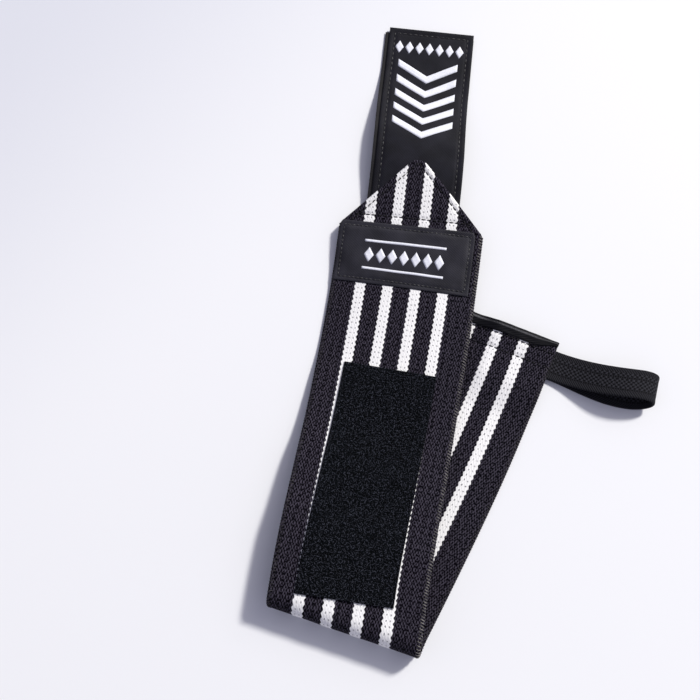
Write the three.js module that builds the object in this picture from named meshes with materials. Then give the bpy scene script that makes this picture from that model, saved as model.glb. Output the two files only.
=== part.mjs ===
// Wrist wrap: one long elastic band with a pointed end, laid out flat and folded over once.
// Units are millimetres and +Z is up. The wrap lies on its table at z = 0, and the origin is at
// the middle of its footprint. The closing tab points to +Y and the thumb loop to +X.
import * as THREE from "three";

// Elastic band
const bandWidth = 76.2;
const bandThickness = 2.2;
const topLength = 239; // from the pointed end to the fold, along the middle
const underLength = 187.5; // from the fold to the bound end, along the middle
const pointLength = 40; // from the pointed end to where the band has its full width
const pointRadius = 6.5;
const flapLength = 38; // the cut corners are folded under as far as this
const foldTurn = 18.4; // degrees by which the fold line leaves the X axis
const crestHeight = 18; // top of the fold above the table
const tipHeight = 12.6; // underside of the band above the table at the pointed end

// Satin label across the band
const labelLength = 31.5;
const labelThickness = 0.8;
const labelStart = 40.7;
const labelInset = 0.6; // band left bare beside the label on the left
const selvedgeWidth = 4.1; // band left bare beside the label on the right

// Fuzzy loop patch that the tab closes on
const patchLength = 117;
const patchWidth = 48;
const patchThickness = 2;
const patchShift = -0.5; // the patch lies so far right of the middle line
const patchStart = 116;
const patchSkew = 0.015; // sideways drift of the patch for each unit along the band

// Closing tab: satin face over hook tape
const tabLength = 79;
const tabRoot = 35; // the part of the tab sewn beneath the pointed end
const tabLeft = 23.2; // edges of the satin face, from the middle line
const tabRight = 24;
const tabFaceThickness = 0.8;
const hookLeft = 25.4; // edges of the hook tape
const hookRight = 24.2;
const hookShortness = 2.6; // the hook tape ends so far before the satin does
const hookThickness = 1.2;

// Folded tape that binds the far end
const bindingCover = 5.2;
const bindingThickness = 0.7;
const bindingTaperLength = 12;
const bindingTaper = 0.65; // share of the cover that is lost at the thumb loop

// Thumb loop: one elastic strip, both ends sewn beneath the far end
const loopWidth = 15.5;
const loopThickness = 1.3;
const loopInset = 3; // from the bound end to the strip's near edge
const loopReach = 55; // from the edge of the band to the end of the loop
const loopRoot = 30;
const loopHeight = 13.5; // top of the open loop above the table
const loopTurn = 8; // degrees between the loop and the bound end
const loopArchShare = 0.8; // share of the reach where the round end starts
const loopBow = 2.5; // how far both plies curve aside, midway out
const loopSplay = 4; // how far the lower ply swings out from under the upper one

const clearance = 0.3; // between sewn layers
const rowStep = 6; // along the straight stretches
const foldStep = 2; // along the fold

// Worked out from the sizes above
const halfWidth = bandWidth / 2;
const bandLength = topLength + underLength;
const foldRadius = (crestHeight - 2 * bandThickness) / 2;
const foldArc = Math.PI * foldRadius;
const crestBase = crestHeight - bandThickness;
const hemLift = bindingThickness + clearance;
const plyLift = 2 * (loopThickness + clearance);
const hemTop = bandThickness + 2 * hemLift;
const dipBase = hemTop + 2 * clearance;
const tabStack = bandThickness + tabFaceThickness + hookThickness + 2 * clearance;
const hemDistance = underLength - foldArc;

const mix = (from, to, share) => from + (to - from) * share;
const radians = THREE.MathUtils.degToRad;

function smooth(value) {
  const share = THREE.MathUtils.clamp(value, 0, 1);
  return share * share * (3 - 2 * share);
}

// A smooth curve through rows of [place, value], level at both ends and wherever the value turns
function curveThrough(rows) {
  const last = rows.length - 1;
  const slopes = rows.map((row, index) => {
    if (index === 0 || index === last) return 0;
    const [before, here, after] = rows.slice(index - 1, index + 2);
    if ((here[1] - before[1]) * (after[1] - here[1]) <= 0) return 0;
    return (after[1] - before[1]) / (after[0] - before[0]);
  });
  return (place) => {
    const at = THREE.MathUtils.clamp(place, rows[0][0], rows[last][0]);
    let index = 0;
    while (index < last - 1 && at > rows[index + 1][0]) index += 1;
    const [start, from] = rows[index];
    const [end, to] = rows[index + 1];
    const span = end - start;
    const q = (at - start) / span;
    const leaving = (q ** 3 - 2 * q ** 2 + q) * span * slopes[index];
    const arriving = (q ** 3 - q ** 2) * span * slopes[index + 1];
    return mix(from, to, q ** 2 * (3 - 2 * q)) + leaving + arriving;
  };
}

// Where the band heads, in degrees from straight down the page. The place is -1 at the tab's free
// end, 0 at the pointed end, 1 at the fold and 2 at the bound end.
const heading = curveThrough([
  [-1, 6.4],
  [0, 6.1],
  [0.1, 6.9],
  [0.25, 8.1],
  [0.4, 10],
  [0.55, 10.5],
  [0.7, 11.8],
  [0.85, 11.2],
  [1, 8.3],
  [1.5, 10],
  [2, 14.9],
]);

function placeAlong(along) {
  if (along < 0) return along / tabLength;
  if (along < topLength) return along / topLength;
  return 1 + (along - topLength) / underLength;
}

// The middle line of the band in plan, unfolded, stepped from the tab's free end
const pathStep = 0.5;
const pathStart = -tabLength - rowStep;
const pathCount = Math.ceil((tabLength + bandLength + 2 * rowStep) / pathStep) + 1;
const path = [new THREE.Vector2(0, 0)];
for (let index = 1; index < pathCount; index += 1) {
  const turn = radians(heading(placeAlong(pathStart + (index - 0.5) * pathStep)));
  const stride = new THREE.Vector2(-Math.sin(turn), -Math.cos(turn)).multiplyScalar(pathStep);
  path.push(path[index - 1].clone().add(stride));
}

function middle(along) {
  const at = THREE.MathUtils.clamp((along - pathStart) / pathStep, 0, pathCount - 1.001);
  const index = Math.floor(at);
  return path[index].clone().lerp(path[index + 1], at - index);
}

// Height of the band's reverse side above the table, by distance from the fold
const tipStart = 1.02 * hemDistance;
const baseHeight = curveThrough([
  [0, crestBase],
  [0.2 * hemDistance, crestBase],
  [0.3 * hemDistance, mix(dipBase, crestBase, 0.78)],
  [0.41 * hemDistance, mix(dipBase, crestBase, 0.545)],
  [0.5 * hemDistance, mix(dipBase, crestBase, 0.24)],
  [0.57 * hemDistance, mix(dipBase, crestBase, 0.11)],
  [0.64 * hemDistance, mix(dipBase, crestBase, 0.045)],
  [0.74 * hemDistance, dipBase],
  [tipStart, dipBase],
  [mix(tipStart, topLength, 0.3), mix(dipBase, tipHeight, 0.25)],
  [mix(tipStart, topLength, 0.65), mix(dipBase, tipHeight, 0.68)],
  [topLength, tipHeight],
  [topLength + 0.12 * tabLength, mix(tabStack, tipHeight, 0.96)],
  [topLength + 0.25 * tabLength, mix(tabStack, tipHeight, 0.68)],
  [topLength + 0.4 * tabLength, mix(tabStack, tipHeight, 0.27)],
  [topLength + 0.53 * tabLength, mix(tabStack, tipHeight, 0.03)],
  [topLength + 0.62 * tabLength, tabStack],
  [topLength + tabLength, tabStack],
]);

// How far the left edge sags below that, beside the bound end that carries the right edge
const edgeSag = curveThrough([
  [0, 0],
  [0.41 * hemDistance, 0],
  [0.5 * hemDistance, 0.21 * dipBase],
  [0.57 * hemDistance, 0.31 * dipBase],
  [0.64 * hemDistance, 0.5 * dipBase],
  [0.74 * hemDistance, 0.92 * dipBase],
  [0.9 * hemDistance, 0.96 * dipBase],
  [0.97 * hemDistance, 0.85 * dipBase],
  [mix(tipStart, topLength, 0.15), 0.5 * dipBase],
  [mix(tipStart, topLength, 0.3), 0.5 * dipBase],
  [mix(tipStart, topLength, 0.65), 0.25 * dipBase],
  [topLength, 0],
  [topLength + tabLength, 0],
]);

// How far the under layer is lifted at the bound end, by the binding and by the loop's two plies
function underLift(along, across) {
  const binding = smooth((along - (bandLength - 2 * bindingCover)) / bindingCover);
  const plyStart = bandLength - 3 * loopWidth;
  const beforePlies = smooth((along - plyStart) / (1.4 * loopWidth));
  const rampWidth = 0.4 * loopRoot;
  const besidePlies = smooth((across - (halfWidth - loopRoot - 1.1 * rampWidth)) / rampWidth);
  return hemLift * binding + plyLift * beforePlies * besidePlies;
}

// Fold line in plan: foldAlong runs along it and foldAcross points past it
const foldCentre = middle(topLength);
const foldAlong = new THREE.Vector2(Math.cos(radians(foldTurn)), -Math.sin(radians(foldTurn)));
const foldAcross = new THREE.Vector2(-Math.sin(radians(foldTurn)), -Math.cos(radians(foldTurn)));
const slopeStep = 0.5;

// Lays a point of the flat band into the folded one. The point is so far along the band from its
// pointed end, across it to the right, and above its reverse side.
function lay(along, across, above) {
  const turn = radians(heading(placeAlong(along)));
  const flat = middle(along).add(new THREE.Vector2(Math.cos(turn), -Math.sin(turn)).multiplyScalar(across));
  flat.sub(foldCentre);
  const past = flat.dot(foldAcross);
  const beside = flat.dot(foldAlong);
  let run;
  let height;
  let tilt;
  if (past <= 0) {
    const sag = edgeSag(-past) * ((halfWidth - across) / bandWidth) ** 2;
    const rise = baseHeight(-past + slopeStep) - baseHeight(-past - slopeStep);
    run = past;
    height = baseHeight(-past) - sag;
    tilt = Math.atan(rise / (2 * slopeStep));
  } else if (past < foldArc) {
    tilt = past / foldRadius;
    run = foldRadius * Math.sin(tilt);
    height = bandThickness + foldRadius * (1 + Math.cos(tilt));
  } else {
    tilt = Math.PI;
    run = foldArc - past;
    height = bandThickness + underLift(along, across);
  }
  const reach = run + above * Math.sin(tilt);
  const plan = foldCentre.clone().addScaledVector(foldAlong, beside).addScaledVector(foldAcross, reach);
  return new THREE.Vector3(plan.x, plan.y, height + above * Math.cos(tilt));
}

// Positions from one place to another, both included, with steps no longer than the one given
function spread(from, to, step) {
  const count = Math.max(1, Math.ceil((to - from) / step - 1e-9));
  return Array.from({ length: count + 1 }, (_, index) => mix(from, to, index / count));
}

// The band's corners across its width, shared by all that follows its bound end
const acrossShares = spread(-1, 1, 1 / 6);

function geometryFrom(points, triangles) {
  const geometry = new THREE.BufferGeometry();
  const numbers = points.flatMap((point) => [point.x, point.y, point.z]);
  geometry.setAttribute("position", new THREE.Float32BufferAttribute(numbers, 3));
  geometry.setIndex(triangles);
  geometry.computeVertexNormals();
  return geometry;
}

// A closed cloth layer. point(row, column, side) gives its corner on the lower side 0 or upper side 1.
function clothLayer(rows, columns, point) {
  const points = [];
  for (const side of [0, 1]) {
    for (let row = 0; row < rows; row += 1) {
      for (let column = 0; column < columns; column += 1) points.push(point(row, column, side));
    }
  }
  const at = (row, column, side) => (side * rows + row) * columns + column;
  const triangles = [];
  const quad = (a, b, c, d) => triangles.push(a, b, c, a, c, d);
  for (let row = 0; row < rows - 1; row += 1) {
    for (let column = 0; column < columns - 1; column += 1) {
      quad(at(row, column, 1), at(row + 1, column, 1), at(row + 1, column + 1, 1), at(row, column + 1, 1));
      quad(at(row, column, 0), at(row, column + 1, 0), at(row + 1, column + 1, 0), at(row + 1, column, 0));
    }
    const edge = columns - 1;
    quad(at(row, 0, 1), at(row, 0, 0), at(row + 1, 0, 0), at(row + 1, 0, 1));
    quad(at(row, edge, 1), at(row + 1, edge, 1), at(row + 1, edge, 0), at(row, edge, 0));
  }
  for (let column = 0; column < columns - 1; column += 1) {
    const end = rows - 1;
    quad(at(0, column, 1), at(0, column + 1, 1), at(0, column + 1, 0), at(0, column, 0));
    quad(at(end, column, 1), at(end, column, 0), at(end, column + 1, 0), at(end, column + 1, 1));
  }
  return geometryFrom(points, triangles);
}

// A piece sewn flat on the band: from start to end along it, between two edges, at a height
function sewnPiece({ start, end, left, right, bottom, thickness, skew = 0 }) {
  const rows = spread(start, end, rowStep);
  const columns = spread(left, right, 1.5 * rowStep);
  const centre = (start + end) / 2;
  return clothLayer(rows.length, columns.length, (row, column, side) => {
    const drift = skew * (centre - rows[row]);
    return lay(rows[row], columns[column] + drift, bottom + side * thickness);
  });
}

// Half the band's width at a distance from the virtual sharp point
const pointAngle = Math.atan(halfWidth / pointLength);
const pointCentre = pointRadius / Math.sin(pointAngle);
const pointTangent = pointCentre - pointRadius * Math.sin(pointAngle);
const pointApex = pointCentre - pointRadius;

function halfWidthAt(along) {
  if (along < pointTangent) return Math.sqrt(pointRadius ** 2 - (pointCentre - along) ** 2);
  return Math.min(halfWidth, along * Math.tan(pointAngle));
}

function elasticBand() {
  const hemStep = bindingCover / 2;
  const foldStart = topLength - bandWidth / 8;
  const foldEnd = topLength + foldArc + bandWidth / 8;
  const rows = [
    ...spread(pointApex + 0.04 * pointRadius, pointTangent, pointRadius / 4),
    ...spread(pointTangent, flapLength, rowStep).slice(1),
    ...spread(flapLength + clearance, pointLength, rowStep),
    ...spread(pointLength, foldStart, rowStep).slice(1),
    ...spread(foldStart, foldEnd, foldStep).slice(1),
    ...spread(foldEnd, bandLength - 2 * bindingCover, rowStep).slice(1),
    ...spread(bandLength - 2 * bindingCover, bandLength, hemStep).slice(1),
  ];
  return clothLayer(rows.length, acrossShares.length, (row, column, side) => {
    const along = rows[row];
    const reverse = along <= flapLength ? -bandThickness : 0;
    return lay(along, acrossShares[column] * halfWidthAt(along), side === 1 ? bandThickness : reverse);
  });
}

function labelPatch() {
  return sewnPiece({
    start: labelStart,
    end: labelStart + labelLength,
    left: labelInset - halfWidth,
    right: halfWidth - selvedgeWidth,
    bottom: bandThickness + clearance,
    thickness: labelThickness,
  });
}

function loopPatch() {
  return sewnPiece({
    start: patchStart,
    end: patchStart + patchLength,
    left: patchShift - patchWidth / 2,
    right: patchShift + patchWidth / 2,
    bottom: bandThickness + clearance,
    thickness: patchThickness,
    skew: patchSkew,
  });
}

function tabFace() {
  return sewnPiece({
    start: -tabLength,
    end: tabRoot,
    left: -tabLeft,
    right: tabRight,
    bottom: -bandThickness - clearance - tabFaceThickness,
    thickness: tabFaceThickness,
  });
}

function tabHook() {
  return sewnPiece({
    start: hookShortness - tabLength,
    end: tabRoot,
    left: -hookLeft,
    right: hookRight,
    bottom: -tabStack,
    thickness: hookThickness,
  });
}

// A closed ring of outline points carried through stations, with both ends capped
function sweptOutline(stations, outlineAt, pointAt) {
  const rings = stations.map((station) => outlineAt(station).map((corner) => pointAt(station, corner)));
  const around = rings[0].length;
  const points = rings.flat();
  const triangles = [];
  for (let ring = 0; ring < rings.length - 1; ring += 1) {
    for (let corner = 0; corner < around; corner += 1) {
      const next = (corner + 1) % around;
      const [a, b] = [ring * around + corner, ring * around + next];
      triangles.push(a, b + around, b, a, a + around, b + around);
    }
  }
  const cap = THREE.ShapeUtils.triangulateShape(outlineAt(stations[0]), []);
  const lastRing = (rings.length - 1) * around;
  for (const [a, b, c] of cap) {
    triangles.push(a, b, c);
    triangles.push(lastRing + a, lastRing + c, lastRing + b);
  }
  return geometryFrom(points, triangles);
}

// The tape is a channel round the band's end. Its outline is [along, above], counterclockwise.
function endBinding() {
  const outlineAt = (across) => {
    const narrowing = smooth((across - (halfWidth - bindingTaperLength)) / bindingTaperLength);
    const start = bandLength - bindingCover * (1 - bindingTaper * narrowing);
    const end = bandLength + clearance;
    const under = -clearance;
    const over = bandThickness + clearance;
    const outer = bindingThickness;
    return [
      [start, over],
      [end, over],
      [end, under],
      [start, under],
      [start, under - outer],
      [end, under - outer],
      [end + 0.7 * outer, under - 0.7 * outer],
      [end + outer, under],
      [end + outer, over],
      [end + 0.7 * outer, over + 0.7 * outer],
      [end, over + outer],
      [start, over + outer],
    ].map(([along, above]) => new THREE.Vector2(along, above));
  };
  const stations = acrossShares.map((share) => share * halfWidth);
  return sweptOutline(stations, outlineAt, (across, corner) => lay(corner.x, across, corner.y));
}

// The thumb loop lies in an upright plane: out of the hem, up, round its end and back on the table
function thumbLoop() {
  const hemLeft = lay(bandLength, 0, 0);
  const hemRight = lay(bandLength, halfWidth, 0);
  const start = lay(bandLength - loopInset - loopWidth / 2, halfWidth, 0).setZ(0);
  const outward = hemRight.clone().sub(hemLeft).setZ(0).normalize();
  outward.applyAxisAngle(new THREE.Vector3(0, 0, 1), radians(loopTurn));
  const sideways = new THREE.Vector3(-outward.y, outward.x, 0);
  const lowerMiddle = loopThickness / 2;
  const upperMiddle = 1.5 * loopThickness + clearance;
  const archMiddle = loopHeight - loopThickness / 2;
  const archStart = loopArchShare * loopReach;
  const archDepth = (1 - loopArchShare) * loopReach - lowerMiddle;
  const archRise = (archMiddle - lowerMiddle) / 2;
  // Each place on the route is how far out it is, how far up, and the share that the splay has there
  const route = [
    ...spread(-loopRoot, 0, loopRoot / 4).map((out) => [out, upperMiddle, 0]),
    ...spread(0, archStart, rowStep / 2).slice(1).map((out) => {
      return [out, mix(upperMiddle, archMiddle, smooth(out / archStart)), 0];
    }),
    ...spread(0, Math.PI, Math.PI / 14).slice(1).map((angle) => {
      const rise = lowerMiddle + archRise * (1 + Math.cos(angle));
      return [archStart + archDepth * Math.sin(angle), rise, smooth(angle / Math.PI)];
    }),
    ...spread(-archStart, loopRoot, rowStep).slice(1).map((back) => {
      return [-back, lowerMiddle, smooth(-back / archStart)];
    }),
  ].map(([out, up, share]) => {
    const bow = loopBow * Math.sin(Math.PI * THREE.MathUtils.clamp(out / loopReach, 0, 1));
    return new THREE.Vector3(out, up, bow + loopSplay * share);
  });
  const centre = (index) => route[THREE.MathUtils.clamp(index, 0, route.length - 1)];
  const columns = spread(-loopWidth / 2, loopWidth / 2, loopWidth / 3);
  return clothLayer(route.length, columns.length, (row, column, side) => {
    const stride = centre(row + 1).clone().sub(centre(row - 1)).setZ(0).normalize();
    const inward = (side - 0.5) * loopThickness;
    const out = centre(row).x - stride.y * inward;
    const up = centre(row).y + stride.x * inward;
    const aside = columns[column] - centre(row).z;
    return start.clone().addScaledVector(outward, out).addScaledVector(sideways, aside).setZ(up);
  });
}

const materials = {
  elastic: new THREE.MeshStandardMaterial({ color: 0x1d1a22, roughness: 0.9, side: THREE.DoubleSide }),
  satin: new THREE.MeshStandardMaterial({ color: 0x24242b, roughness: 0.45 }),
  pile: new THREE.MeshStandardMaterial({ color: 0x0e1014, roughness: 1 }),
  hook: new THREE.MeshStandardMaterial({ color: 0x16161a, roughness: 0.7 }),
  tape: new THREE.MeshStandardMaterial({ color: 0x141418, roughness: 0.35 }),
};

const wrap = new THREE.Group();
const pieces = [
  ["elastic_band", elasticBand(), materials.elastic],
  ["label_patch", labelPatch(), materials.satin],
  ["loop_patch", loopPatch(), materials.pile],
  ["tab_face", tabFace(), materials.satin],
  ["tab_hook", tabHook(), materials.hook],
  ["end_binding", endBinding(), materials.tape],
  ["thumb_loop", thumbLoop(), materials.elastic],
];
for (const [name, geometry, material] of pieces) {
  const mesh = new THREE.Mesh(geometry, material);
  mesh.name = name;
  wrap.add(mesh);
}

// The origin goes to the middle of the footprint, on the table
const bounds = new THREE.Box3().setFromObject(wrap);
const footprint = bounds.getCenter(new THREE.Vector3());
wrap.position.set(-footprint.x, -footprint.y, -bounds.min.z);
wrap.updateMatrixWorld(true);

export default wrap;
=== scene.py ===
# %% [markdown]
# # A wrist wrap, laid out and folded over once
# The wrap is one long strip of knitted elastic. Its pointed end carries a satin tab with hook tape
# beneath, its middle a fuzzy panel that the hooks grip, and its far end a bound hem with a thumb
# loop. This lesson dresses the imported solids: every cloth piece is a surface of two parameters,
# so far along the band and so far across it, which one function lays into the folded shape.

# %% Load the frame
import bpy
import numpy as np
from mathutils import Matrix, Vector


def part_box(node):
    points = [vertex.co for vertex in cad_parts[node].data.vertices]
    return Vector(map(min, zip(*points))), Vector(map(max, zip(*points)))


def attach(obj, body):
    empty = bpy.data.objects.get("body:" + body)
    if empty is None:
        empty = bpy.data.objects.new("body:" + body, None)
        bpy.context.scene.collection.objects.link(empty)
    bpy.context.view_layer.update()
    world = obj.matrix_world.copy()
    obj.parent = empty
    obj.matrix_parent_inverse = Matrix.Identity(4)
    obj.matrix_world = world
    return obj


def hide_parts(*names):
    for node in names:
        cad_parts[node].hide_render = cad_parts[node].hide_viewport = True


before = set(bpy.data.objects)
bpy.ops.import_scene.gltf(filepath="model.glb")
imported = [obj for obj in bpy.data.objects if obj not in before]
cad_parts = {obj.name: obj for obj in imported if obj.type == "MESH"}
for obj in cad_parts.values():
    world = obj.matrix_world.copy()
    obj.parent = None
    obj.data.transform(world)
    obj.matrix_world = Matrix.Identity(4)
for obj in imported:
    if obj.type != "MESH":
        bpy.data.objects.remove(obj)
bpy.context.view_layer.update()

# %% [markdown]
# ## Sizes
# The solids were made from these named sizes, in millimetres, so the cloth is worked out from the
# same ones and meets the solids without fitting. Blender works in metres, and the change of unit
# comes at the very end, where a mesh is filled.

# %% Sizes in millimetres
METRES = 0.001

BAND_WIDTH = 76.2
BAND_THICKNESS = 2.2
TOP_LENGTH = 239.0
UNDER_LENGTH = 187.5
POINT_LENGTH = 40.0
POINT_RADIUS = 6.5
FLAP_LENGTH = 38.0
FOLD_TURN = np.radians(18.4)
CREST_HEIGHT = 18.0
TIP_HEIGHT = 12.6

LABEL_LENGTH = 31.5
LABEL_THICKNESS = 0.8
LABEL_START = 40.7
LABEL_INSET = 0.6
SELVEDGE_WIDTH = 4.1

PATCH_LENGTH = 117.0
PATCH_WIDTH = 48.0
PATCH_THICKNESS = 2.0
PATCH_START = 116.0
PATCH_SHIFT = -0.5
PATCH_SKEW = 0.015

TAB_LENGTH = 79.0
TAB_ROOT = 35.0
TAB_LEFT = 23.2
TAB_RIGHT = 24.0
TAB_FACE_THICKNESS = 0.8
HOOK_LEFT = 25.4
HOOK_RIGHT = 24.2
HOOK_SHORTNESS = 2.6
HOOK_THICKNESS = 1.2

BINDING_COVER = 5.2
BINDING_THICKNESS = 0.7
BINDING_TAPER_LENGTH = 12.0
BINDING_TAPER = 0.65

LOOP_WIDTH = 15.5
LOOP_THICKNESS = 1.3
LOOP_INSET = 3.0
LOOP_REACH = 55.0
LOOP_ROOT = 30.0
LOOP_HEIGHT = 13.5
LOOP_TURN = np.radians(8)
LOOP_ARCH_SHARE = 0.8
LOOP_BOW = 2.5
LOOP_SPLAY = 4.0

CLEARANCE = 0.3

HALF_WIDTH = BAND_WIDTH / 2
BAND_LENGTH = TOP_LENGTH + UNDER_LENGTH
FOLD_RADIUS = (CREST_HEIGHT - 2 * BAND_THICKNESS) / 2
FOLD_ARC = np.pi * FOLD_RADIUS
HEM_LIFT = BINDING_THICKNESS + CLEARANCE
PLY_LIFT = 2 * (LOOP_THICKNESS + CLEARANCE)
HEM_DISTANCE = UNDER_LENGTH - FOLD_ARC
CREST_BASE = CREST_HEIGHT - BAND_THICKNESS
DIP_BASE = BAND_THICKNESS + 2 * HEM_LIFT + 2 * CLEARANCE
TAB_STACK = BAND_THICKNESS + TAB_FACE_THICKNESS + HOOK_THICKNESS + 2 * CLEARANCE
print(f"band {BAND_LENGTH} mm from point to hem, fold radius {FOLD_RADIUS:.1f} mm")


# %% [markdown]
# ## How the band is laid
# A flat strip that is folded once stays a strip: nothing stretches. So its shape is described in
# three short tables, of where it heads, how high it lies and how far one edge sags, and a smooth
# curve runs through each. Reading the tables with numpy arrays lays a hundred thousand points as
# quickly as one.

# %% Smooth steps and curves through a table
def mix(start, end, share):
    """The value so large a share of the way from start to end."""
    return start + (end - start) * share


def smooth(value):
    """Rises from 0 to 1 as value does, level at both ends: 3 q squared minus 2 q cubed."""
    share = np.clip(value, 0, 1)
    return share * share * (3 - 2 * share)


def curve_through(rows):
    """A function of place through rows of (place, value): cubic pieces, level at the ends and turns."""
    places, values = np.array(rows, float).T
    rises = np.diff(values)
    slopes = np.zeros_like(values)
    slopes[1:-1] = (values[2:] - values[:-2]) / (places[2:] - places[:-2])
    slopes[1:-1][rises[:-1] * rises[1:] <= 0] = 0

    def curve(place):
        at = np.clip(place, places[0], places[-1])
        index = np.clip(np.searchsorted(places, at, side="right") - 1, 0, len(places) - 2)
        span = places[index + 1] - places[index]
        q = (at - places[index]) / span
        leaving = (q**3 - 2 * q**2 + q) * span * slopes[index]
        arriving = (q**3 - q**2) * span * slopes[index + 1]
        return mix(values[index], values[index + 1], q**2 * (3 - 2 * q)) + leaving + arriving

    return curve


# %% The three tables
heading = curve_through([
    (-1, 6.4), (0, 6.1), (0.1, 6.9), (0.25, 8.1), (0.4, 10), (0.55, 10.5),
    (0.7, 11.8), (0.85, 11.2), (1, 8.3), (1.5, 10), (2, 14.9),
])

TIP_START = 1.02 * HEM_DISTANCE
base_height = curve_through([
    (0, CREST_BASE),
    (0.2 * HEM_DISTANCE, CREST_BASE),
    (0.3 * HEM_DISTANCE, mix(DIP_BASE, CREST_BASE, 0.78)),
    (0.41 * HEM_DISTANCE, mix(DIP_BASE, CREST_BASE, 0.545)),
    (0.5 * HEM_DISTANCE, mix(DIP_BASE, CREST_BASE, 0.24)),
    (0.57 * HEM_DISTANCE, mix(DIP_BASE, CREST_BASE, 0.11)),
    (0.64 * HEM_DISTANCE, mix(DIP_BASE, CREST_BASE, 0.045)),
    (0.74 * HEM_DISTANCE, DIP_BASE),
    (TIP_START, DIP_BASE),
    (mix(TIP_START, TOP_LENGTH, 0.3), mix(DIP_BASE, TIP_HEIGHT, 0.25)),
    (mix(TIP_START, TOP_LENGTH, 0.65), mix(DIP_BASE, TIP_HEIGHT, 0.68)),
    (TOP_LENGTH, TIP_HEIGHT),
    (TOP_LENGTH + 0.12 * TAB_LENGTH, mix(TAB_STACK, TIP_HEIGHT, 0.96)),
    (TOP_LENGTH + 0.25 * TAB_LENGTH, mix(TAB_STACK, TIP_HEIGHT, 0.68)),
    (TOP_LENGTH + 0.4 * TAB_LENGTH, mix(TAB_STACK, TIP_HEIGHT, 0.27)),
    (TOP_LENGTH + 0.53 * TAB_LENGTH, mix(TAB_STACK, TIP_HEIGHT, 0.03)),
    (TOP_LENGTH + 0.62 * TAB_LENGTH, TAB_STACK),
    (TOP_LENGTH + TAB_LENGTH, TAB_STACK),
])
edge_sag = curve_through([
    (0, 0),
    (0.41 * HEM_DISTANCE, 0),
    (0.5 * HEM_DISTANCE, 0.21 * DIP_BASE),
    (0.57 * HEM_DISTANCE, 0.31 * DIP_BASE),
    (0.64 * HEM_DISTANCE, 0.5 * DIP_BASE),
    (0.74 * HEM_DISTANCE, 0.92 * DIP_BASE),
    (0.9 * HEM_DISTANCE, 0.96 * DIP_BASE),
    (0.97 * HEM_DISTANCE, 0.85 * DIP_BASE),
    (mix(TIP_START, TOP_LENGTH, 0.15), 0.5 * DIP_BASE),
    (mix(TIP_START, TOP_LENGTH, 0.3), 0.5 * DIP_BASE),
    (mix(TIP_START, TOP_LENGTH, 0.65), 0.25 * DIP_BASE),
    (TOP_LENGTH, 0),
    (TOP_LENGTH + TAB_LENGTH, 0),
])


# %% [markdown]
# The middle line of the unfolded band is found by walking it: each short stride goes the way that
# the heading table says, and the strides add up. The points between strides are read off by
# interpolation.

# %% The middle line in plan
def turn_at(along):
    """Heading in radians; place is -1 at the tab's end, 0 at the point, 1 at the fold, 2 at the hem."""
    top = np.where(along < 0, along / TAB_LENGTH, along / TOP_LENGTH)
    place = np.where(along < TOP_LENGTH, top, 1 + (along - TOP_LENGTH) / UNDER_LENGTH)
    return np.radians(heading(place))


STRIDE = 0.5
WALK_MARGIN = 6.0
walk_along = np.arange(-TAB_LENGTH - WALK_MARGIN, BAND_LENGTH + WALK_MARGIN, STRIDE)
walk_turn = turn_at(walk_along[:-1] + STRIDE / 2)
walk_x = np.concatenate([[0], np.cumsum(-np.sin(walk_turn)) * STRIDE])
walk_y = np.concatenate([[0], np.cumsum(-np.cos(walk_turn)) * STRIDE])


def middle(along):
    """Plan place of the middle line: the strides' sum, read between strides."""
    return np.interp(along, walk_along, walk_x), np.interp(along, walk_along, walk_y)


# %% Lay the band
FOLD_X, FOLD_Y = middle(TOP_LENGTH)
FOLD_ALONG = np.array([np.cos(FOLD_TURN), -np.sin(FOLD_TURN)])
FOLD_ACROSS = np.array([-np.sin(FOLD_TURN), -np.cos(FOLD_TURN)])
SLOPE_STEP = 0.5


def under_lift(along, across):
    """Lift of the under layer by the binding and by the loop's plies: one smooth step for each."""
    binding = smooth((along - (BAND_LENGTH - 2 * BINDING_COVER)) / BINDING_COVER)
    before_plies = smooth((along - (BAND_LENGTH - 3 * LOOP_WIDTH)) / (1.4 * LOOP_WIDTH))
    ramp = 0.4 * LOOP_ROOT
    beside_plies = smooth((across - (HALF_WIDTH - LOOP_ROOT - 1.1 * ramp)) / ramp)
    return HEM_LIFT * binding + PLY_LIFT * before_plies * beside_plies


def lay_unshifted(along, across, above):
    """Before the fold line a point keeps its distance and takes the table's height; past it, the
    distance runs round half a circle of the fold's radius and back again on the table."""
    along, across, above = np.broadcast_arrays(along, across, above)
    turn = turn_at(along)
    centre_x, centre_y = middle(along)
    flat_x = centre_x + across * np.cos(turn) - FOLD_X
    flat_y = centre_y - across * np.sin(turn) - FOLD_Y
    past = flat_x * FOLD_ACROSS[0] + flat_y * FOLD_ACROSS[1]
    beside = flat_x * FOLD_ALONG[0] + flat_y * FOLD_ALONG[1]
    before, curling = past <= 0, (past > 0) & (past < FOLD_ARC)
    sag = edge_sag(-past) * ((HALF_WIDTH - across) / BAND_WIDTH) ** 2
    rise = base_height(-past + SLOPE_STEP) - base_height(-past - SLOPE_STEP)
    slope, angle = np.arctan(rise / (2 * SLOPE_STEP)), past / FOLD_RADIUS
    tilt = np.select([before, curling], [slope, angle], np.pi)
    run = np.select([before, curling], [past, FOLD_RADIUS * np.sin(angle)], FOLD_ARC - past)
    top = base_height(-past) - sag
    bend = BAND_THICKNESS + FOLD_RADIUS * (1 + np.cos(angle))
    height = np.select([before, curling], [top, bend], BAND_THICKNESS + under_lift(along, across))
    reach = run + above * np.sin(tilt)
    x = FOLD_X + beside * FOLD_ALONG[0] + reach * FOLD_ACROSS[0]
    y = FOLD_Y + beside * FOLD_ALONG[1] + reach * FOLD_ACROSS[1]
    return np.stack([x, y, height + above * np.cos(tilt)], -1)


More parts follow.
